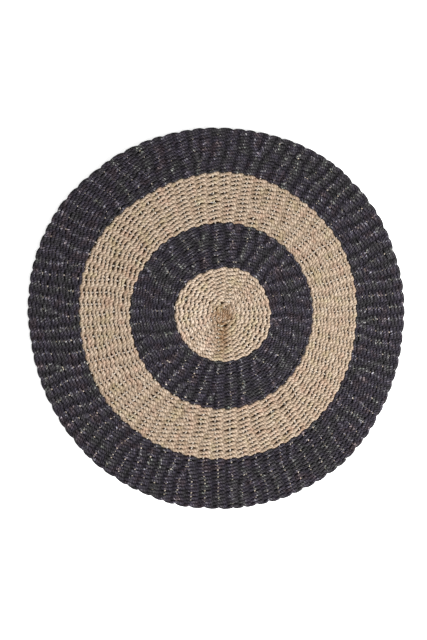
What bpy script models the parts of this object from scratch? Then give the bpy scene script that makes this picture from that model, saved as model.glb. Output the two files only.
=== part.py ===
"""Round twined seagrass mat, 1 m across, lying flat on the floor.

Two cords are twined around warps that run out from the start like spokes. They pass over a warp one at a
time and lie side by side between two warps, so the top has a rib along each warp and the rim a notch at
its end. New warps start beside old ones as the mat grows. The rounds, and with them the four colour
zones, lie a little off the middle of the rim, and no round is a true circle.

Metres, +Z up. The origin is under the middle of the mat, on the floor.
"""

import math
import random
from collections import namedtuple

import bmesh
import bpy
from mathutils import Vector

DIAMETER = 1.0
THICKNESS = 0.014  # cord over warp over cord, pressed together
RIB_DEPTH = 0.0030  # from a rib's crest, over its warp, down to the valley beside it
SHOULDER_DROP = 0.0012  # from a rib's crest to its shoulder
CREST_SPREAD = 0.0007  # how much the ribs differ in height
NOTCH_DEPTH = 0.0024  # how far the rim is drawn in at a warp
EDGE_INSET = 0.0045  # half a twined round, over which the rim curves down
RING_STEP = 0.029  # distance between the rings of vertices
START_RADIUS = 0.010
SEED = 7

# The edge of each colour zone: its mean radius, its centre, and its waves as (waves a turn, height,
# direction of a crest in degrees). A point between two edges is shaped by both.
Border = namedtuple("Border", "radius x y waves colour")
BORDERS = (
    Border(0.0, 0.0175, 0.0092, (), "natural"),
    Border(0.031, 0.0172, 0.0090, ((2, 0.0042, 90.0),), "natural"),
    Border(0.126, 0.0162, 0.0084, ((2, 0.0020, -4.0), (3, 0.0014, 59.0), (4, 0.0014, -29.0)), "natural"),
    Border(0.243, 0.0116, 0.0058, ((2, 0.0022, 84.0), (3, 0.0013, 36.0)), "black"),
    Border(
        0.373,
        0.0031,
        0.0042,
        ((2, 0.0052, -88.0), (3, 0.0024, 47.0), (4, 0.0017, -36.0), (5, 0.0017, 14.0), (6, 0.0017, 27.0)),
        "natural",
    ),
    Border(
        DIAMETER / 2,
        0.0,
        0.0,
        ((2, 0.0036, -80.0), (3, 0.0042, 41.0), (4, 0.0028, -41.0), (5, 0.0010, 23.0), (7, 0.0008, 1.0)),
        "black",
    ),
)

# How many warps there are from each radius on.
WarpStage = namedtuple("WarpStage", "radius warps")
WARP_STAGES = (
    WarpStage(0.000, 8),
    WarpStage(0.024, 16),
    WarpStage(0.045, 24),
    WarpStage(0.125, 32),
    WarpStage(0.200, 48),
    WarpStage(0.287, 72),
    WarpStage(0.400, 90),
)
STAGE_SPREAD = 0.07  # warps of one stage start within this share of its radius
SPREAD_LENGTH = 0.05  # a new warp reaches its full distance from the next one over this length
LEAST_SHARE = 0.08  # the gap beside a warp where it starts, as a share of a full one
EASING_PASSES = 14  # how far along the round a new warp pushes the others aside
SWAY_LENGTH = 0.06  # a gap's width changes over this distance
LEAN = 0.022  # radians
LEAN_WAVES = 3

# The points from one warp to the next: the share of the gap, and the place in the section.
GAP_SECTION = ((0.0, "crest"), (0.24, "shoulder"), (0.5, "valley"), (0.76, "shoulder"))

COLOURS = {"natural": (0.56, 0.43, 0.27, 1.0), "black": (0.035, 0.035, 0.045, 1.0)}

Warp = namedtuple("Warp", "start share sway phase crest")


def lay_out_warps():
    """The warps in order around the mat, each with its start and its own unevenness."""
    rng = random.Random(SEED)
    starts = [WARP_STAGES[0].radius] * WARP_STAGES[0].warps
    for stage in WARP_STAGES[1:]:
        old, added = len(starts), stage.warps - len(starts)
        grown = []
        for index, start in enumerate(starts):
            grown.append(start)
            if (index + 1) * added // old > index * added // old:
                grown.append(stage.radius * (1 + rng.uniform(-STAGE_SPREAD, STAGE_SPREAD)))
        starts = grown
    return [
        Warp(
            start=start,
            share=rng.uniform(0.88, 1.12),
            sway=rng.uniform(0.0, 0.07),
            phase=rng.uniform(0.0, math.tau),
            crest=rng.uniform(-CREST_SPREAD, 0.0),
        )
        for start in starts
    ]


def grown_share(warp, radius):
    """How far the gap after a warp has opened: 1 is its full width."""
    if warp.start == WARP_STAGES[0].radius:
        return 1.0
    t = min(max((radius - warp.start) / SPREAD_LENGTH, 0.0), 1.0)
    return LEAST_SHARE + (1 - LEAST_SHARE) * t * t * (3 - 2 * t)


def rim_angles(warps):
    """Where each warp would reach the rim if all of them had started at the middle."""
    turn = math.tau / sum(warp.share for warp in warps)
    angles = [0.0]
    for warp in warps[:-1]:
        angles.append(angles[-1] + warp.share * turn)
    return angles


def ease(angles, widths):
    """Moves each warp halfway to its place between its two neighbours. widths[i] lies after angles[i]."""
    before = [angles[-1] - math.tau] + angles[:-1]
    after = angles[1:] + [angles[0] + math.tau]
    eased = []
    for here, b, a, left, right in zip(angles, before, after, widths[-1:] + widths[:-1], widths):
        eased.append((here + (b * right + a * left) / (left + right)) / 2)
    return eased


def gaps_at(warps, radius):
    """(index of the warp, its angle, the next warp's angle) for each warp there.

    Warps share the room with their neighbours, so those beside a new one bend away from it.
    """
    there = [index for index, warp in enumerate(warps) if warp.start <= radius]
    widths = [
        grown_share(warps[i], radius)
        * warps[i].share
        * (1 + warps[i].sway * math.sin(radius / SWAY_LENGTH + warps[i].phase))
        for i in there
    ]
    angles = [rim_angles(warps)[i] for i in there]
    for _ in range(EASING_PASSES):
        angles = ease(angles, widths)
    return list(zip(there, angles, angles[1:] + [angles[0] + math.tau]))


def lean(radius, angle):
    """The warps' slow swing to one side and back on their way to the rim."""
    reach = radius / BORDERS[-1].radius
    return angle + LEAN * reach * math.sin(LEAN_WAVES * angle + math.tau * reach)


def wave_height(border, angle):
    return sum(h * math.cos(turns * (angle - math.radians(crest))) for turns, h, crest in border.waves)


def on_mat(radius, angle, height):
    """The point at a radius from the start, drawn to the shapes of the borders on either side."""
    outer = next(b for b in BORDERS[1:] if radius <= b.radius)
    inner = BORDERS[BORDERS.index(outer) - 1]
    t = (radius - inner.radius) / (outer.radius - inner.radius)
    angle = lean(radius, angle)
    reach = radius + (1 - t) * wave_height(inner, angle) + t * wave_height(outer, angle)
    x = (1 - t) * inner.x + t * outer.x
    y = (1 - t) * inner.y + t * outer.y
    return Vector((x + reach * math.cos(angle), y + reach * math.sin(angle), height))


def ring_radii():
    """Radii of the rings of vertices, with one on every border."""
    radii = [START_RADIUS]
    for border in BORDERS[1:]:
        last = border.radius - (EDGE_INSET if border is BORDERS[-1] else 0.0)
        steps = max(1, round((last - radii[-1]) / RING_STEP))
        radii += [radii[-1] + (last - radii[-1]) * step / steps for step in range(1, steps + 1)]
    return radii


def top_height(warp, radius, place):
    """Height of a point between two warps. The valley deepens as the gap opens."""
    drop = {"crest": 0.0, "shoulder": SHOULDER_DROP, "valley": RIB_DEPTH}[place]
    opened = grown_share(warp, radius) * min(1.0, radius / BORDERS[2].radius)
    return THICKNESS + warp.crest - drop * opened


def edge_between(a, b):
    return next(edge for edge in a.link_edges if edge.other_vert(a) is b)


def loop_edges(ring):
    return [edge_between(a, b) for a, b in zip(ring, ring[1:] + ring[:1])]


def extrude_ring(bm, ring, slot):
    """Extrudes the open ring and returns its copy in the same order. The new faces get the slot."""
    made = bmesh.ops.extrude_edge_only(bm, edges=loop_edges(ring))["geom"]
    fresh = {item for item in made if isinstance(item, bmesh.types.BMVert)}
    for face in (item for item in made if isinstance(item, bmesh.types.BMFace)):
        face.material_index = slot
    return [next(e.other_vert(v) for e in v.link_edges if e.other_vert(v) in fresh) for v in ring]


def add_gap(ring, before):
    """Cuts a new warp's points, and those of the gap after it, into the ring in front of an index."""
    previous, crest = ring[before - 1], ring[before % len(ring)]
    for step in range(len(GAP_SECTION)):
        _, previous = bmesh.utils.edge_split(edge_between(previous, crest), previous, 0.2)
        ring.insert(before + step, previous)


def place_top(ring, warps, radius):
    points = iter(ring)
    for index, start, end in gaps_at(warps, radius):
        for share, place in GAP_SECTION:
            height = top_height(warps[index], radius, place)
            next(points).co = on_mat(radius, start + (end - start) * share, height)


def place_edge(ring, warps, turn):
    """Places a ring on the rim's round edge: a turn of 90 is its top, -90 its flat bottom."""
    points = iter(ring)
    reach = EDGE_INSET * math.cos(math.radians(turn))
    rim = BORDERS[-1].radius
    for index, start, end in gaps_at(warps, rim):
        for share, place in GAP_SECTION:
            top = top_height(warps[index], rim, place)
            drawn_in = NOTCH_DEPTH * (1 - math.sin(math.pi * share))
            height = top * (1 + math.sin(math.radians(turn))) / 2
            radius = rim - EDGE_INSET + reach - drawn_in
            next(points).co = on_mat(radius, start + (end - start) * share, height)


def centre_over_origin(bm):
    """Moves the mat so that its outline's box is centred over the origin."""
    xs = [v.co.x for v in bm.verts]
    ys = [v.co.y for v in bm.verts]
    middle = Vector((min(xs) + max(xs), min(ys) + max(ys), 0.0)) / 2
    bmesh.ops.translate(bm, verts=bm.verts, vec=-middle)


def mat_mesh(slots):
    """The whole mat: ribbed top, round edge, flat underside."""
    warps = lay_out_warps()
    bm = bmesh.new()
    points = len(GAP_SECTION) * len(gaps_at(warps, START_RADIUS))
    ring = bmesh.ops.create_circle(bm, segments=points, radius=START_RADIUS)["verts"]
    place_top(ring, warps, START_RADIUS)
    knot = bmesh.ops.contextual_create(bm, geom=loop_edges(ring))["faces"]
    bmesh.ops.poke(bm, faces=knot)

    last_radius = START_RADIUS
    for radius in ring_radii()[1:]:
        colour = next(b.colour for b in BORDERS[1:] if radius <= b.radius)
        ring = extrude_ring(bm, ring, slots[colour])
        there = [index for index, _, _ in gaps_at(warps, radius)]
        for place, index in enumerate(there):
            if warps[index].start > last_radius:
                add_gap(ring, place * len(GAP_SECTION))
        place_top(ring, warps, radius)
        last_radius = radius

    for turn in (30.0, -30.0, -90.0):
        ring = extrude_ring(bm, ring, slots["black"])
        place_edge(ring, warps, turn)
    underside = bmesh.ops.contextual_create(bm, geom=loop_edges(ring))["faces"]
    underside[0].material_index = slots["black"]
    bmesh.ops.poke(bm, faces=underside)

    centre_over_origin(bm)
    bmesh.ops.recalc_face_normals(bm, faces=bm.faces)
    mesh = bpy.data.meshes.new("mat")
    bm.to_mesh(mesh)
    bm.free()
    return mesh


def cord_material(name, colour):
    material = bpy.data.materials.new(name)
    material.use_nodes = True
    shader = material.node_tree.nodes["Principled BSDF"]
    shader.inputs["Base Color"].default_value = colour
    shader.inputs["Roughness"].default_value = 0.75
    shader.inputs["Metallic"].default_value = 0.0
    return material


for thing in list(bpy.data.objects):
    bpy.data.objects.remove(thing, do_unlink=True)

slots = {name: slot for slot, name in enumerate(COLOURS)}
mat = bpy.data.objects.new("mat", mat_mesh(slots))
for name, colour in COLOURS.items():
    mat.data.materials.append(cord_material(f"{name} seagrass", colour))
mat.data.shade_smooth()
mat.data.set_sharp_from_angle(angle=math.radians(60))
bpy.context.scene.collection.objects.link(mat)
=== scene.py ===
import math
import random
from collections import namedtuple

import bmesh
import bpy
import numpy as np
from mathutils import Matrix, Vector


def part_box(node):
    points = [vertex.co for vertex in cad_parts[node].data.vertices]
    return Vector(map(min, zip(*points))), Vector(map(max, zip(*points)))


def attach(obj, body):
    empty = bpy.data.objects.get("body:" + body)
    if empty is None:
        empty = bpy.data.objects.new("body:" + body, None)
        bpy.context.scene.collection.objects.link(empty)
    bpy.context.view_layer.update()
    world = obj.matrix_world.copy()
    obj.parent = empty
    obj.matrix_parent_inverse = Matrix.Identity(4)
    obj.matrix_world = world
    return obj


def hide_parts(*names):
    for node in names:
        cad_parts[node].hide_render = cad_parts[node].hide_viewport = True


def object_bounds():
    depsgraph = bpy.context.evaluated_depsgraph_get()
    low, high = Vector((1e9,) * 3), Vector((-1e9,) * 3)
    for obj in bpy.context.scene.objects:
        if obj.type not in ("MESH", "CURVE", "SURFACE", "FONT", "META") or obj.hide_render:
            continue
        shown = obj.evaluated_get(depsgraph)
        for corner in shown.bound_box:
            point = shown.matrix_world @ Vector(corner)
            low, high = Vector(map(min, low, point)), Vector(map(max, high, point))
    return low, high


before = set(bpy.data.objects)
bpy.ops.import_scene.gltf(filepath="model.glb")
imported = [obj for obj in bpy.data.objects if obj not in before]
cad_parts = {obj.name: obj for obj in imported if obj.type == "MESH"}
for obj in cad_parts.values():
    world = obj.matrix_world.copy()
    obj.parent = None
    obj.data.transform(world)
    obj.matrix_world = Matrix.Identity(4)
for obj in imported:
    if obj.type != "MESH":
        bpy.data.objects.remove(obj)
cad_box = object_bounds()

# The camera looks straight down at the mat, as in the photograph: a long lens a few metres up, with the
# top of the picture towards +Y.
PICTURE_PX = (427, 640)
MAT_LENGTH_PX = 379.6  # from the mat's top edge to its bottom edge in the picture
MAT_CENTRE_PX = (216.2, 318.4)
LENS_MM = 85.0
SENSOR_MM = 36.0
camera_data = bpy.data.cameras.new("camera")
camera_data.lens = LENS_MM
camera_data.sensor_width = SENSOR_MM
metre_per_px = (cad_box[1].y - cad_box[0].y) / MAT_LENGTH_PX
camera = bpy.data.objects.new("camera", camera_data)
camera.location = (
    (PICTURE_PX[0] / 2 - MAT_CENTRE_PX[0]) * metre_per_px,
    (MAT_CENTRE_PX[1] - PICTURE_PX[1] / 2) * metre_per_px,
    PICTURE_PX[1] * metre_per_px * LENS_MM / camera_data.sensor_width + cad_box[1].z,
)
bpy.context.scene.collection.objects.link(camera)
bpy.context.scene.camera = camera

# Warps: undyed seagrass cords that run out from the start like spokes. More are laid in beside the old
# ones as the mat grows, so the twined rounds keep their spacing, and all are cut off at the rim.
SEED = 7
DISC_RADIUS = 0.126
INNER_BLACK_RADIUS = 0.243
LIGHT_RADIUS = 0.373
RIM_RADIUS = 0.5
mat_low, mat_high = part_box("mat")
MID_HEIGHT = (mat_low.z + mat_high.z) / 2

# The edge of each colour zone: its mean radius, its centre, and its waves as (waves a turn, height,
# direction of a crest in degrees). A point between two edges is shaped by both.
Border = namedtuple("Border", "radius x y waves")
BORDERS = (
    Border(0.0, 0.0175, 0.0092, ()),
    Border(0.031, 0.0172, 0.0090, ((2, 0.0052, 76.0),)),
    Border(DISC_RADIUS, 0.0162, 0.0084, ((2, 0.0020, -4.0), (3, 0.0014, 59.0), (4, 0.0014, -29.0))),
    Border(INNER_BLACK_RADIUS, 0.0116, 0.0058, ((2, 0.0022, 84.0), (3, 0.0013, 36.0))),
    Border(
        LIGHT_RADIUS,
        0.0031,
        0.0042,
        ((2, 0.0052, -88.0), (3, 0.0024, 47.0), (4, 0.0017, -36.0), (5, 0.0017, 14.0), (6, 0.0017, 27.0)),
    ),
    Border(
        RIM_RADIUS,
        0.0,
        0.0,
        ((2, 0.0036, -80.0), (3, 0.0042, 41.0), (4, 0.0028, -41.0), (5, 0.0010, 23.0), (7, 0.0008, 1.0)),
    ),
)

# Where the first rounds come to a point: its direction in degrees, how far it stands out, and the radius
# at which it has faded away.
Point = namedtuple("Point", "direction height reach")
POINTS = (Point(-92.0, 0.0055, 0.150), Point(60.0, 0.0075, 0.095))
POINT_WIDTH = 0.35  # radians over which a point falls away to either side

# How many warps there are from each radius on.
WARP_STAGES = ((0.000, 8), (0.024, 16), (0.045, 24), (0.125, 32), (0.200, 48), (0.287, 72), (0.400, 90))
STAGE_SPREAD = 0.07  # warps of one stage start within this share of its radius
SHARE_RANGE = (0.88, 1.12)  # the gap after a warp, against the mean one
MOST_SWAY = 0.07  # how much a gap's width changes on the way out
SWAY_LENGTH = 0.06
SPREAD_LENGTH = 0.05  # a new warp reaches its full distance from the next one over this length
LEAST_SHARE = 0.08  # the gap beside a warp where it starts, as a share of a full one
EASING_PASSES = 14  # how far along the round a new warp pushes the others aside
LEAN = 0.022  # radians by which the warps swing to one side and back
LEAN_WAVES = 3
Warp = namedtuple("Warp", "start share sway phase")


def lay_out_warps():
    """The warps in order around the mat, each with its start and its own unevenness."""
    rng = random.Random(SEED)
    first, count = WARP_STAGES[0]
    starts = [first] * count
    for radius, count in WARP_STAGES[1:]:
        old, added = len(starts), count - len(starts)
        grown = []
        for index, start in enumerate(starts):
            grown.append(start)
            if (index + 1) * added // old > index * added // old:
                grown.append(radius * (1 + rng.uniform(-STAGE_SPREAD, STAGE_SPREAD)))
        starts = grown
    warps = []
    for start in starts:
        share = rng.uniform(*SHARE_RANGE)
        sway = rng.uniform(0.0, MOST_SWAY)
        warps.append(Warp(start, share, sway, phase=rng.uniform(0.0, math.tau)))
        rng.random()  # stands for the height of the solid's rib, so that its warps and these are the same
    return warps


def grown_share(warp, radius):
    """How far the gap after a warp has opened: 1 is its full width."""
    if warp.start == 0.0:
        return 1.0
    t = min(max((radius - warp.start) / SPREAD_LENGTH, 0.0), 1.0)
    return LEAST_SHARE + (1 - LEAST_SHARE) * t * t * (3 - 2 * t)


warps = lay_out_warps()
full_turn = math.tau / sum(warp.share for warp in warps)
rim_angles = [full_turn * sum(warp.share for warp in warps[:index]) for index in range(len(warps))]


def gap_width(warp, radius):
    """The width of the gap after a warp, against the mean one."""
    sway = 1 + warp.sway * math.sin(radius / SWAY_LENGTH + warp.phase)
    return grown_share(warp, radius) * warp.share * sway


def gaps_at(radius):
    """(index of the warp, its angle, the next warp's angle) for each warp that has started there."""
    there = [index for index, warp in enumerate(warps) if warp.start <= radius]
    widths = [gap_width(warps[index], radius) for index in there]
    angles = [rim_angles[index] for index in there]
    for _ in range(EASING_PASSES):
        before = [angles[-1] - math.tau] + angles[:-1]
        after = angles[1:] + [angles[0] + math.tau]
        angles = [
            (here + (b * right + a * left) / (left + right)) / 2
            for here, b, a, left, right in zip(angles, before, after, widths[-1:] + widths[:-1], widths)
        ]
    return list(zip(there, angles, angles[1:] + [angles[0] + math.tau]))


def wave_height(border, angle):
    return sum(h * math.cos(turns * (angle - math.radians(crest))) for turns, h, crest in border.waves)


def on_mat(radius, angle):
    """The place at a radius from the start, drawn to the shapes of the borders on either side."""
    outer = next((b for b in BORDERS[1:] if radius <= b.radius), BORDERS[-1])
    inner = BORDERS[BORDERS.index(outer) - 1]
    t = (radius - inner.radius) / (outer.radius - inner.radius)
    angle += LEAN * radius / RIM_RADIUS * math.sin(LEAN_WAVES * angle + math.tau * radius / RIM_RADIUS)
    reach = radius + (1 - t) * wave_height(inner, angle) + t * wave_height(outer, angle)
    for point in POINTS:
        turned = abs((angle - math.radians(point.direction) + math.pi) % math.tau - math.pi)
        reach += point.height * max(1 - radius / point.reach, 0.0) * math.exp(-turned / POINT_WIDTH)
    x = (1 - t) * inner.x + t * outer.x
    y = (1 - t) * inner.y + t * outer.y
    return Vector((x + reach * math.cos(angle), y + reach * math.sin(angle), 0.0)) - off_centre


off_centre = Vector()
rim_points = [on_mat(RIM_RADIUS, math.radians(degree)) for degree in range(360)]
off_centre = Vector(
    [(max(p[axis] for p in rim_points) + min(p[axis] for p in rim_points)) / 2 for axis in (0, 1)] + [0.0]
)
start_knot = on_mat(0.0, 0.0)

# A place on a cord's path, and the cord's width and height there as shares of its thickness.
Spot = namedtuple("Spot", "place wide high", defaults=(1.0, 1.0))
FACE_CORNERS = 4


def cord_mesh(name, paths, thickness, offsets, roundness=2):
    """Sweeps a cord along each path of spots, as wide and as high there as its shares of the thickness.

    The UV map holds the metres along the cord, counted from the path's offset, and the turn around it.
    """
    curve = bpy.data.curves.new(name, "CURVE")
    curve.dimensions = "3D"
    curve.bevel_depth = thickness / 2
    curve.bevel_resolution = roundness
    for path in paths:
        spline = curve.splines.new("POLY")
        spline.points.add(len(path) - 1)
        spline.points.foreach_set("co", [c for spot in path for c in (*spot.place, 1.0)])
        spline.points.foreach_set("radius", [spot.wide for spot in path])
    guide = bpy.data.objects.new(name, curve)
    bpy.context.scene.collection.objects.link(guide)
    bpy.context.view_layer.update()
    mesh = bpy.data.meshes.new_from_object(guide)
    bpy.data.objects.remove(guide)

    spots = [spot for path in paths for spot in path]
    sides = len(mesh.vertices) // len(spots)
    points = np.empty(3 * len(mesh.vertices), np.float32)
    mesh.vertices.foreach_get("co", points)
    rings = points.reshape(len(spots), sides, 3)
    middles = np.array([spot.place.z for spot in spots])[:, None]
    flatness = np.array([spot.high / spot.wide for spot in spots])[:, None]
    rings[:, :, 2] = middles + (rings[:, :, 2] - middles) * flatness
    mesh.vertices.foreach_set("co", rings.ravel())

    layer = mesh.uv_layers[0]
    layer.name = "cord"
    uv = np.empty(2 * len(mesh.loops), np.float32)
    layer.uv.foreach_get("vector", uv)
    uv = uv.reshape(-1, 2)
    first = 0
    for path, offset in zip(paths, offsets):
        last = first + FACE_CORNERS * sides * (len(path) - 1)
        places = np.array([spot.place for spot in path])
        lengths = np.concatenate([[0.0], np.cumsum(np.linalg.norm(np.diff(places, axis=0), axis=1))])
        steps = np.rint(uv[first:last, 0] * (len(path) - 1)).astype(int)
        uv[first:last, 0] = offset + lengths[steps]
        first = last
    layer.uv.foreach_set("vector", uv.ravel())
    bm = bmesh.new()
    bm.from_mesh(mesh)
    bmesh.ops.holes_fill(bm, edges=[e for e in bm.edges if e.is_boundary], sides=0)
    bm.to_mesh(mesh)
    bm.free()
    mesh.shade_smooth()
    return mesh


def add_piece(name, mesh, material):
    piece = bpy.data.objects.new(name, mesh)
    piece.data.materials.clear()
    piece.data.materials.append(material)
    bpy.context.scene.collection.objects.link(piece)
    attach(piece, "root")
    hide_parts("mat")
    return piece


def add_node(tree, kind, inputs=(), **settings):
    """Adds a node. An input is linked where its value is a socket, and set where it isn't."""
    node = tree.nodes.new(kind)
    for key, value in settings.items():
        setattr(node, key, value)
    for key, value in dict(inputs).items():
        if isinstance(value, bpy.types.NodeSocket):
            tree.links.new(value, node.inputs[key])
        else:
            node.inputs[key].default_value = value
    return node


def math_node(tree, operation, a, b=0.0, c=0.0):
    return add_node(tree, "ShaderNodeMath", {0: a, 1: b, 2: c}, operation=operation).outputs[0]


def fade_node(tree, value, low, high):
    """0 up to the low value and 1 from the high one on, or the other way round where low is the larger."""
    settings = {"Value": value, "From Min": low, "From Max": high}
    return add_node(tree, "ShaderNodeMapRange", settings, interpolation_type="SMOOTHSTEP").outputs[0]


Noise = namedtuple("Noise", "scale detail")


def noise_node(tree, vector, noise):
    settings = {"Vector": vector, "Scale": noise.scale, "Detail": noise.detail}
    return add_node(tree, "ShaderNodeTexNoise", settings).outputs["Fac"]


NEW_STOP = 0.5  # where a stop stands until its own position is set


def ramp_node(tree, factor, stops):
    node = add_node(tree, "ShaderNodeValToRGB", {0: factor})
    ramp = node.color_ramp
    while len(ramp.elements) < len(stops):
        ramp.elements.new(NEW_STOP)
    for element, (position, colour) in zip(ramp.elements, stops):
        element.position = position
        element.color = (*colour, 1.0)
    return node.outputs[0]


MIX_COLOURS = (6, 7)  # the mix node's two colour inputs
MIX_RESULT = 2


def mix_node(tree, factor, a, b, blend_type="MIX"):
    mix = {0: factor, MIX_COLOURS[0]: a, MIX_COLOURS[1]: b}
    return add_node(tree, "ShaderNodeMix", mix, data_type="RGBA", blend_type=blend_type).outputs[MIX_RESULT]


def multiply_node(tree, a, b):
    return mix_node(tree, 1.0, a, b, "MULTIPLY")


def multiply_by_ramp(tree, colour, factor, stops):
    return multiply_node(tree, colour, ramp_node(tree, factor, stops))


PLY_ROUNDNESS = 0.7
BLADE_CHANGE = 45.0  # how fast the blades change along the cord, a metre
BLADE_NOISE = Noise(2.4, 2.0)
FIBRE_NOISE = Noise(9.0, 3.0)
TONE_CHANGE = 30.0  # how fast the tone drifts along the cord, a metre
TONE_NOISE = Noise(1.0, 2.0)
PATCH_NOISE = Noise(32.0, 3.0)
WEAR_NOISE = Noise(170.0, 1.0)
WEAR_FADE = (0.54, 0.66)
WORN_FIBRES = (0.35, 0.58)
CREST_FADE = (0.0046, 0.0064)  # the heights from the mat's middle between which the wear sets in
CREST_TOP = 0.0069
PAINTED_SHADE_FADE = (0.0002, 0.0026)  # the heights from the mat's middle between which the painted shade deep in the mat ends
SHADE_FACING_FADE = (-0.7, 0.1)  # how far a face turns to the mat's middle before shade is painted on it
BLADE_RELIEF = 0.8
FIBRE_RELIEF = 0.3


def laid_cord_group():
    """How a laid cord looks along its length.

    Out come the relief of its two plies and their blades, the roundness of a ply, each blade's tone, the
    drift of tone along the cord, the patches that several rounds share, the height above or below the mat's
    middle, the wear on the crests over the warps, and a mask that is 1 at the mat's face and falls to 0
    deep in the mat and on faces turned to its middle, where shade is painted.
    """
    tree = bpy.data.node_groups.new("laid cord", "ShaderNodeTree")
    tree.interface.new_socket("Lay", in_out="INPUT", socket_type="NodeSocketFloat")
    given = tree.nodes.new("NodeGroupInput")
    uv = add_node(tree, "ShaderNodeUVMap", uv_map="cord")
    split = add_node(tree, "ShaderNodeSeparateXYZ", {0: uv.outputs[0]})
    along, around = split.outputs[0], split.outputs[1]
    turns = math_node(tree, "SUBTRACT", math_node(tree, "DIVIDE", along, given.outputs["Lay"]), around)
    angle = math_node(tree, "MULTIPLY", turns, math.tau)
    cosine = math_node(tree, "COSINE", angle)
    sine = math_node(tree, "SINE", angle)
    # the ply profile: it drives the bump, and the shade painted between the plies with a highlight painted
    # on their tops
    plies = math_node(tree, "POWER", math_node(tree, "ABSOLUTE", cosine), PLY_ROUNDNESS)
    change = math_node(tree, "MULTIPLY", along, BLADE_CHANGE)
    blade_spot = add_node(tree, "ShaderNodeCombineXYZ", {0: cosine, 1: sine, 2: change}).outputs[0]
    blades = noise_node(tree, blade_spot, BLADE_NOISE)
    fibres = noise_node(tree, blade_spot, FIBRE_NOISE)
    drift = math_node(tree, "MULTIPLY", along, TONE_CHANGE)
    tone = noise_node(tree, add_node(tree, "ShaderNodeCombineXYZ", {0: drift}).outputs[0], TONE_NOISE)
    own = add_node(tree, "ShaderNodeTexCoord")
    patches = noise_node(tree, own.outputs["Object"], PATCH_NOISE)
    wear = fade_node(tree, noise_node(tree, own.outputs["Object"], WEAR_NOISE), *WEAR_FADE)
    wear = math_node(tree, "MULTIPLY", wear, fade_node(tree, fibres, *WORN_FIBRES))
    height = add_node(tree, "ShaderNodeSeparateXYZ", {0: own.outputs["Object"]}).outputs["Z"]
    above = math_node(tree, "SUBTRACT", height, MID_HEIGHT)
    upwards = add_node(tree, "ShaderNodeSeparateXYZ", {0: own.outputs["Normal"]}).outputs["Z"]
    outwards = math_node(tree, "MULTIPLY", upwards, math_node(tree, "SIGN", above))
    off_middle = math_node(tree, "ABSOLUTE", above)
    # painted shade: the colour darkens near the mat's middle height, where cords lie deep between others
    above_shaded_depth = fade_node(tree, off_middle, *PAINTED_SHADE_FADE)
    crests = fade_node(tree, off_middle, *CREST_FADE)
    relief = math_node(tree, "MULTIPLY_ADD", blades, BLADE_RELIEF, plies)
    relief = math_node(tree, "MULTIPLY_ADD", fibres, FIBRE_RELIEF, relief)
    made = tree.nodes.new("NodeGroupOutput")
    results = {
        "Relief": relief,
        "Plies": plies,
        "Blades": blades,
        "Tone": tone,
        "Patches": patches,
        "Height": math_node(tree, "DIVIDE", off_middle, CREST_TOP),
        "Wear": math_node(tree, "MULTIPLY", crests, wear),
        # 0 deep in the mat and on faces turned to its middle, where the material paints shade; 1 at the
        # mat's face
        "Unshaded": math_node(tree, "MULTIPLY", above_shaded_depth, fade_node(tree, outwards, *SHADE_FACING_FADE)),
    }
    for name, result in results.items():
        tree.interface.new_socket(name, in_out="OUTPUT", socket_type="NodeSocketFloat")
        tree.links.new(result, made.inputs[name])
    return tree


laid_cord = laid_cord_group()
WHITE = (1.0, 1.0, 1.0)
RELIEF_HEIGHT = 0.0009

# The length of one turn of a cord's lay, then the ramps from the group's outputs to colours that are
# multiplied, among them the painted shade between the plies and the painted shade low on the crests with a
# painted highlight on their tops, then the colours of wear and of the painted shade deep in the mat, and
# the surface.
Looks = namedtuple("Looks", "lay tones plies blades patches ridges worn depth roughness shine")


def grass_material(name, looks):
    """Laid seagrass cord: tones drift along it, its blades are paler and darker, shade is painted between
    its plies, low on its crests and deep in the mat, and highlights are painted on its ply tops and crest
    tops.
    """
    material = bpy.data.materials.new(name)
    material.use_nodes = True
    tree = material.node_tree
    shader = tree.nodes["Principled BSDF"]
    cord = add_node(tree, "ShaderNodeGroup", node_tree=laid_cord)
    cord.inputs["Lay"].default_value = looks.lay
    colour = ramp_node(tree, cord.outputs["Tone"], looks.tones)
    # painted shade in the grooves between the two plies and a painted highlight on their tops
    colour = multiply_by_ramp(tree, colour, cord.outputs["Plies"], looks.plies)
    colour = multiply_by_ramp(tree, colour, cord.outputs["Blades"], looks.blades)
    colour = multiply_by_ramp(tree, colour, cord.outputs["Patches"], looks.patches)
    # by height from the mat's middle: a painted highlight on the tops of the crests and painted shade lower
    # down
    colour = multiply_by_ramp(tree, colour, cord.outputs["Height"], looks.ridges)
    colour = multiply_by_ramp(tree, colour, cord.outputs["Wear"], ((0.0, WHITE), (1.0, looks.worn)))
    # painted shade deep in the mat and on faces turned to its middle
    colour = multiply_by_ramp(tree, colour, cord.outputs["Unshaded"], ((0.0, looks.depth), (1.0, WHITE)))
    tree.links.new(colour, shader.inputs["Base Color"])
    shader.inputs["Roughness"].default_value = looks.roughness
    shader.inputs["Specular IOR Level"].default_value = looks.shine
    relief = {"Height": cord.outputs["Relief"], "Strength": 1.0, "Distance": RELIEF_HEIGHT}
    bump = add_node(tree, "ShaderNodeBump", relief)
    tree.links.new(bump.outputs[0], shader.inputs["Normal"])
    return material


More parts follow.
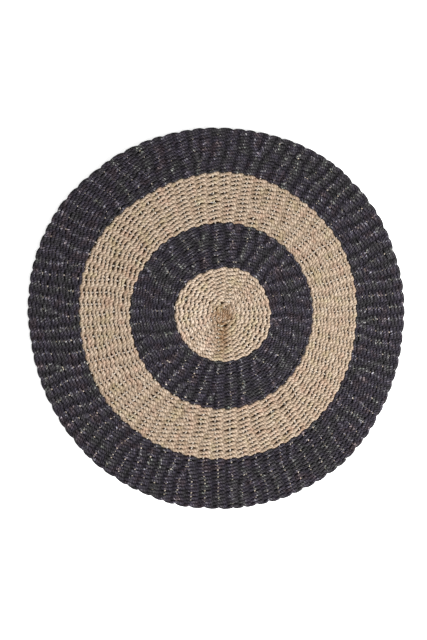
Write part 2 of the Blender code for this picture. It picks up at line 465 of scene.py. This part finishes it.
natural = Looks(
    lay=0.015,
    tones=((0.34, (0.300, 0.226, 0.160)), (0.48, (0.360, 0.280, 0.212)), (0.62, (0.390, 0.318, 0.250))),
    # painted shade between the plies and a painted highlight on their tops
    plies=((0.10, (0.36, 0.27, 0.19)), (0.50, (0.88, 0.85, 0.82)), (0.90, (1.04, 1.04, 1.04))),
    blades=((0.34, (0.52, 0.44, 0.34)), (0.46, (0.90, 0.87, 0.83)), (0.60, (1.12, 1.12, 1.11))),
    patches=((0.32, (1.01, 0.92, 0.91)), (0.44, WHITE), (0.56, WHITE), (0.68, (0.95, 0.98, 0.86))),
    ridges=((0.0, WHITE), (1.0, WHITE)),
    worn=(1.06, 1.06, 1.06),
    # the dark brown of the shade painted deep in the mat
    depth=(0.22, 0.14, 0.075),
    roughness=0.6,
    shine=0.3,
)
warp_looks = natural._replace(tones=((0.40, (0.44, 0.39, 0.335)), (0.60, (0.56, 0.51, 0.455))), depth=WHITE)
warp_grass = grass_material("warp seagrass", warp_looks)

WARP_THICKNESS = 0.0042
WARP_SECTION = (1.15, 2.2)  # a warp's width and height as shares of its thickness, and those of its end
WARP_END_SECTION = (0.9, 0.9)
INNERMOST = 0.012  # no warp starts nearer to the start than this
WARP_STEP = 0.009
CUT_SHORT = (0.005, 0.010)  # how far inside the rim a warp may end
PATTERN_LENGTH = 50  # the metres of cord within which each path has its own stretch of pattern
warp_rng = random.Random(SEED + 1)


def at_middle(radius, angle):
    """The place on the mat, at half its thickness."""
    return on_mat(radius, angle) + Vector((0, 0, MID_HEIGHT))


def warp_path(index):
    """A warp from its start to the rim, where it is cut off more or less short."""
    path = []
    radius = max(warps[index].start, INNERMOST)
    end = RIM_RADIUS - warp_rng.uniform(*CUT_SHORT)
    while radius < end:
        angle = next(a for i, a, _ in gaps_at(radius) if i == index)
        path.append(Spot(at_middle(radius, angle), *WARP_SECTION))
        radius += WARP_STEP
    path.append(Spot(at_middle(end, angle), *WARP_END_SECTION))
    return path


def pattern_offsets(paths, rng):
    """Where in the pattern each path starts, so that no two cords look alike."""
    return [rng.uniform(0, PATTERN_LENGTH) for _ in paths]


warp_paths = [warp_path(index) for index in range(len(warps))]
warp_mesh = cord_mesh("warps", warp_paths, WARP_THICKNESS, pattern_offsets(warp_paths, warp_rng))
add_piece("warps", warp_mesh, warp_grass)

# Middle disc: two undyed cords twined around the warps, round after round from the start knot. A cord
# passes over one warp and under the next, flattened there, and lies beside the other cord between them.
STEPS_PER_GAP = 8
NARROWEST_GAP = 0.0105  # two warps closer than this are twined as one
CREST_HEIGHT = 0.0046  # the height of a cord over a warp
CREST_SHARPNESS = 6  # how short the stretch is that has the crest's width
UNDER_WIDTH = 1.3  # the width of a cord under a warp, as a share of the distance between two rounds
CLOSED_BY = 1.2  # how much wider the crests are where two warps lie close together
LOOSE_SIDE = math.radians(-68.0)  # the side on which the black rounds were pulled less tight
CREST_RANGE = (0.80, 1.15)  # the width of one crest, against the zone's
LIFT_RANGE = (0.80, 1.04)  # how far one crest rises, as a share of the full rise
SECTION_RANGE = (0.94, 1.06)  # how uneven a cord is from one spot to the next
STITCH_SHIFT = 0.0009  # how far a crossing strays along the round and across it
RIM_DRAW = 0.0024  # how far the last round is drawn in at a warp
twine_rng = random.Random(SEED + 2)

# A colour zone: its radii and number of rounds, the thickness of its cords, the width of a crest, how much
# narrower crests are on the loose side, and halfway between two warps the cords' height and width as shares
# of their thickness, and their distance from the round's middle as a share of that between two rounds.
Ring = namedtuple(
    "Ring", "inner outer rounds thickness crest loosening squeezed_height squeezed_width spread"
)
Stitch = namedtuple("Stitch", "angle crest lift drift")


def twined_angles(radius):
    """The angles of the warps, or of pairs of warps still too close to be twined singly."""
    angles, paired = [], False
    for _, start, end in gaps_at(radius):
        if paired:
            paired = False
            continue
        paired = (end - start) * radius < NARROWEST_GAP
        angles.append((start + end) / 2 if paired else start)
    return angles


def stitches_at(radius, ring):
    """Where the cords of one round cross over the warps, from any warp round to the same one again."""
    angles = twined_angles(radius)
    shift = twine_rng.randrange(len(angles))
    angles = angles[shift:] + [angle + math.tau for angle in angles[:shift]]
    stitches = []
    mean_gap = math.tau / len(angles)
    befores = [angles[-1] - math.tau] + angles[:-1]
    afters = angles[1:] + [angles[0] + math.tau]
    for before, angle, after in zip(befores, angles, afters):
        crest = ring.crest * (1 - ring.loosening * max(math.cos(angle - LOOSE_SIDE), 0.0)) / ring.thickness
        crest *= 1 + CLOSED_BY * max(1 - min(angle - before, after - angle) / mean_gap, 0.0)
        crest *= twine_rng.uniform(*CREST_RANGE)
        angle += twine_rng.gauss(0.0, STITCH_SHIFT / radius)
        lift = twine_rng.uniform(*LIFT_RANGE)
        stitches.append(Stitch(angle, crest, lift, drift=twine_rng.gauss(0.0, STITCH_SHIFT)))
    return stitches + [stitches[0]._replace(angle=stitches[0].angle + math.tau)]


def twined_round(radius, ring):
    """The paths of the two cords of one round, which change places at every warp."""
    stitches = stitches_at(radius, ring)
    rise = MID_HEIGHT - CREST_HEIGHT / 2
    pitch = (ring.outer - ring.inner) / ring.rounds
    draw = RIM_DRAW if radius + pitch > RIM_RADIUS else 0.0
    under_width = UNDER_WIDTH * pitch / ring.thickness
    paths = ([], [])
    for k, (here, after) in enumerate(zip(stitches, stitches[1:])):
        steps = STEPS_PER_GAP + 1 if k == len(stitches) - 2 else STEPS_PER_GAP
        for step in range(steps):
            f = step / STEPS_PER_GAP
            angle, crest, lift, drift = (a * (1 - f) + b * f for a, b in zip(here, after))
            up = math.cos(math.pi * (k + f))
            out = math.sin(math.pi * (k + f))
            high = ring.squeezed_height * (1 - up * up) + up * up * CREST_HEIGHT / ring.thickness
            for path, side in zip(paths, (1, -1)):
                over = side * up > 0
                crossing_width = crest if over else under_width
                share = up**CREST_SHARPNESS if over else abs(up)
                wide = ring.squeezed_width * (1 - share) + share * crossing_width
                reach = radius + drift - side * ring.spread * pitch * out - draw * up**CREST_SHARPNESS
                place = on_mat(reach, angle)
                place.z = MID_HEIGHT + side * rise * lift * up
                wide *= twine_rng.uniform(*SECTION_RANGE)
                path.append(Spot(place, wide, high * twine_rng.uniform(*SECTION_RANGE)))
    return paths


def twined_ring(name, ring, material):
    """The two cords of a zone, each a piece of its own, laid as flat as a sheet."""
    pitch = (ring.outer - ring.inner) / ring.rounds
    strands = ([], [])
    for n in range(ring.rounds):
        for strand, path in zip(strands, twined_round(ring.inner + pitch * (n + 0.5), ring)):
            strand.append(path)
    for letter, paths in zip("ab", strands):
        mesh = cord_mesh(f"{name}_{letter}", paths, ring.thickness, pattern_offsets(paths, twine_rng))
        piece = add_piece(f"{name}_{letter}", mesh, material)


# The stain's middle, seen from the start, and where its parts begin to show and are at their strongest,
# in metres from that middle.
STAIN_OFFSET = Vector((-0.003, -0.008, 0.0))
CENTRE_FADE = (0.046, 0.012)
LINE_WIDTH_FADE = (0.034, 0.003)
LINE_LENGTH_FADE = (0.150, 0.040)
LINE_START_FADE = (0.004, -0.010)
BLEACH_FADE = (0.0, -0.055)
STAIN_NOISE = Noise(110.0, 2.0)
STAIN_NOISE_FADE = (0.22, 0.54)
BROWN = (0.52, 0.38, 0.25, 1.0)
BLEACHED = (1.13, 1.14, 1.17, 1.0)


def stained_grass():
    """Natural seagrass, browner below the start and along the line where the rounds come to a point.

    On the left side the cords are a little paler.
    """
    tones = ((0.34, (0.318, 0.243, 0.174)), (0.48, (0.388, 0.306, 0.235)), (0.62, (0.436, 0.360, 0.287)))
    material = grass_material("stained seagrass", natural._replace(tones=tones))
    tree = material.node_tree
    shader = tree.nodes["Principled BSDF"]
    clean = shader.inputs["Base Color"].links[0].from_socket
    place = add_node(tree, "ShaderNodeTexCoord").outputs["Object"]
    wander = fade_node(tree, noise_node(tree, place, STAIN_NOISE), *STAIN_NOISE_FADE)
    offset = {0: place, 1: start_knot + STAIN_OFFSET}
    from_stain = add_node(tree, "ShaderNodeVectorMath", offset, operation="SUBTRACT").outputs[0]
    split = add_node(tree, "ShaderNodeSeparateXYZ", {0: from_stain})
    x, y = split.outputs[0], split.outputs[1]
    flat = add_node(tree, "ShaderNodeCombineXYZ", {0: x, 1: y}).outputs[0]
    distance = add_node(tree, "ShaderNodeVectorMath", {0: flat}, operation="LENGTH").outputs["Value"]
    centre = fade_node(tree, distance, *CENTRE_FADE)
    line = fade_node(tree, math_node(tree, "ABSOLUTE", x), *LINE_WIDTH_FADE)
    line = math_node(tree, "MULTIPLY", line, fade_node(tree, distance, *LINE_LENGTH_FADE))
    line = math_node(tree, "MULTIPLY", line, fade_node(tree, y, *LINE_START_FADE))
    stain = math_node(tree, "MULTIPLY", math_node(tree, "MAXIMUM", centre, line), wander)
    bleach = fade_node(tree, x, *BLEACH_FADE)
    colour = mix_node(tree, bleach, clean, multiply_node(tree, clean, BLEACHED))
    colour = mix_node(tree, stain, colour, multiply_node(tree, colour, BROWN))
    tree.links.new(colour, shader.inputs["Base Color"])
    return material


stained = stained_grass()
middle_disc = Ring(
    inner=0.0150,
    outer=DISC_RADIUS,
    rounds=10,
    thickness=0.0060,
    crest=0.0064,
    loosening=0.0,
    squeezed_height=1.30,
    squeezed_width=1.68,
    spread=0.20,
)
twined_ring("middle_weft", middle_disc, stained)

# Start knot: the first warps lie side by side across each other, six above and six below, and fan out
# under the first round.
KNOT_STRANDS = 6
KNOT_REACH = 0.020
KNOT_PITCH = 0.0046
KNOT_THICKNESS = 0.0050
KNOT_STEPS = 8
KNOT_FAN = 0.30
KNOT_WAVER = 0.0008
KNOT_WAVES = 3
KNOT_LIFT = 0.0030
KNOT_FALL = 4  # how late the strands bend down towards their ends
knot_paths = []
for layer in (1, -1):
    for n in range(KNOT_STRANDS):
        aside = (n - (KNOT_STRANDS - 1) / 2) * KNOT_PITCH
        path = []
        for step in range(KNOT_STEPS + 1):
            t = 2 * step / KNOT_STEPS - 1
            across = aside * (1 + KNOT_FAN * t) + KNOT_WAVER * math.sin(KNOT_WAVES * t + n)
            along = KNOT_REACH * t
            place = start_knot + Vector((across, along, 0) if layer == 1 else (along, across, 0))
            place.z = MID_HEIGHT + layer * KNOT_LIFT * (1 - t**KNOT_FALL)
            path.append(Spot(place))
        knot_paths.append(path)
knot_mesh = cord_mesh("start_knot", knot_paths, KNOT_THICKNESS, pattern_offsets(knot_paths, warp_rng))
add_piece("start_knot", knot_mesh, stained)

# Inner black ring: two cords dyed black, twined over the warps as in the middle disc, but thinner and
# packed closer, with worn light spots on their crests.
black = Looks(
    lay=0.0125,
    tones=(
        (0.32, (0.0092, 0.0076, 0.0095)),
        (0.50, (0.0143, 0.0119, 0.0149)),
        (0.66, (0.0223, 0.0191, 0.0231)),
    ),
    # painted shade between the plies and a painted highlight on their tops
    plies=((0.10, (0.25, 0.25, 0.25)), (0.50, (0.75, 0.75, 0.75)), (0.90, (1.4, 1.4, 1.4))),
    blades=((0.40, (0.45, 0.45, 0.45)), (0.52, WHITE), (0.60, (2.0, 2.0, 2.0)), (0.68, (3.4, 3.4, 3.4))),
    patches=(
        (0.34, (1.14, 0.93, 0.94)),
        (0.46, (0.94, 0.94, 1.15)),
        (0.54, WHITE),
        (0.66, (0.96, 1.07, 0.93)),
    ),
    # painted shade low on the cords and a painted highlight on the tops of the crests
    ridges=((0.25, (0.86, 0.86, 0.88)), (0.76, WHITE), (0.98, (1.32, 1.32, 1.30))),
    worn=(8.3, 9.6, 7.6),
    # the dark of the shade painted deep in the mat
    depth=(0.30, 0.28, 0.30),
    roughness=0.6,
    shine=0.18,
)
black_grass = grass_material("black seagrass", black)
inner_black_ring = Ring(
    inner=DISC_RADIUS,
    outer=INNER_BLACK_RADIUS,
    rounds=15,
    thickness=0.0048,
    crest=0.0077,
    loosening=0.05,
    squeezed_height=0.90,
    squeezed_width=1.7,
    spread=0.24,
)
twined_ring("inner_black_weft", inner_black_ring, black_grass)

# Light ring: two undyed cords again, nearly as thick as those of the middle disc. They leave small
# openings beside the warps, which show between two rounds.
natural_grass = grass_material("natural seagrass", natural)
light_ring = Ring(
    inner=INNER_BLACK_RADIUS,
    outer=LIGHT_RADIUS,
    rounds=12,
    thickness=0.0059,
    crest=0.0055,
    loosening=0.0,
    squeezed_height=1.30,
    squeezed_width=1.85,
    spread=0.20,
)
twined_ring("light_ring_weft", light_ring, natural_grass)

# Outer black ring: two black cords out to the rim, a little thicker than those of the inner one. The last
# round is drawn in at each warp, which notches the rim.
OUTERMOST = 0.5010
outer_black_ring = Ring(
    inner=LIGHT_RADIUS,
    outer=OUTERMOST,
    rounds=14,
    thickness=0.0052,
    crest=0.0089,
    loosening=0.15,
    squeezed_height=0.82,
    squeezed_width=1.75,
    spread=0.24,
)
twined_ring("outer_black_weft", outer_black_ring, black_grass)

# Loose blades: the thin ends of single blades of grass, which have worked out of the cords and stand off
# them here and there.
LOOSE_BLADES = 700
BLADE_THICKNESS = 0.0006
BLADE_HEIGHT = 0.0125
BLADE_LENGTHS = (0.008, 0.024)
BLADE_LIFTS = (0.001, 0.004)
BLADE_SLANT = 0.5  # radians
BLADE_BEND = 0.4  # radians
BLADE_STEPS = 5
BLADE_WIDTH = 1.1
BLADE_TAPER = 0.7  # how much narrower it is at its tip
BLADE_FLATNESS = 0.5
LEAST_SPREAD = 0.002  # keeps the blades off the very start
blade_rng = random.Random(SEED + 3)


def loose_blade(radius):
    """The path of one loose end, which leaves its cord at a slant and tapers off."""
    angle = blade_rng.uniform(0.0, math.tau)
    heading = angle + math.pi / 2 * blade_rng.choice((1, -1)) + blade_rng.gauss(0.0, BLADE_SLANT)
    length = blade_rng.uniform(*BLADE_LENGTHS)
    bend = blade_rng.gauss(0.0, BLADE_BEND)
    lift = blade_rng.uniform(*BLADE_LIFTS)
    path = []
    for step in range(BLADE_STEPS + 1):
        t = step / BLADE_STEPS
        along = Vector((math.cos(heading + bend * t), math.sin(heading + bend * t), 0.0)) * length * t
        place = on_mat(radius, angle) + along + Vector((0, 0, BLADE_HEIGHT + lift * t))
        path.append(Spot(place, BLADE_WIDTH - BLADE_TAPER * t, BLADE_FLATNESS))
    return path


natural_blades, black_blades = [], []
for _ in range(LOOSE_BLADES):
    radius = RIM_RADIUS * math.sqrt(blade_rng.uniform(LEAST_SPREAD, 1.0))
    dyed = DISC_RADIUS < radius < INNER_BLACK_RADIUS or radius > LIGHT_RADIUS
    (black_blades if dyed else natural_blades).append(loose_blade(radius))
for name, paths, material, slot in (
    ("natural_blades", natural_blades, natural_grass, "natural_seagrass"),
    ("black_blades", black_blades, black_grass, "black_seagrass"),
):
    mesh = cord_mesh(name, paths, BLADE_THICKNESS, pattern_offsets(paths, blade_rng), roundness=0)
    add_piece(name, mesh, material)

# Floor: a plain pale studio floor under soft light, strongest from the right and a little from below in
# the picture, with the rest from all round.
FLOOR_SIZE = 14.0
FLOOR_COLOUR = (0.86, 0.86, 0.86, 1.0)
FLOOR_ROUGHNESS = 0.9
FLOOR_GLOW = 0.55
WORLD_LIGHT = 0.6
KEY_SIZE = 2.3
KEY_WATTS = 640.0
KEY_PLACE = (3.50, -2.60, 3.33)
floor_bm = bmesh.new()
bmesh.ops.create_grid(floor_bm, x_segments=1, y_segments=1, size=FLOOR_SIZE / 2)
floor_mesh = bpy.data.meshes.new("floor")
floor_bm.to_mesh(floor_mesh)
floor_bm.free()
floor = bpy.data.objects.new("floor", floor_mesh)
floor_material = bpy.data.materials.new("pale floor")
floor_material.use_nodes = True
floor_shader = floor_material.node_tree.nodes["Principled BSDF"]
floor_shader.inputs["Base Color"].default_value = FLOOR_COLOUR
floor_shader.inputs["Roughness"].default_value = FLOOR_ROUGHNESS
floor_shader.inputs["Emission Color"].default_value = (*WHITE, 1.0)
floor_shader.inputs["Emission Strength"].default_value = FLOOR_GLOW
floor_mesh.materials.append(floor_material)
bpy.context.scene.collection.objects.link(floor)

world = bpy.data.worlds.new("studio")
world.use_nodes = True
world.node_tree.nodes["Background"].inputs["Color"].default_value = (*WHITE, 1.0)
world.node_tree.nodes["Background"].inputs["Strength"].default_value = WORLD_LIGHT
bpy.context.scene.world = world
bpy.context.scene.view_settings.view_transform = "Standard"

key_data = bpy.data.lights.new("key light", "AREA")
key_data.size = KEY_SIZE
key_data.energy = KEY_WATTS
key = bpy.data.objects.new("key light", key_data)
key.location = KEY_PLACE
key.rotation_euler = (-key.location).to_track_quat("-Z", "Y").to_euler()
bpy.context.scene.collection.objects.link(key)
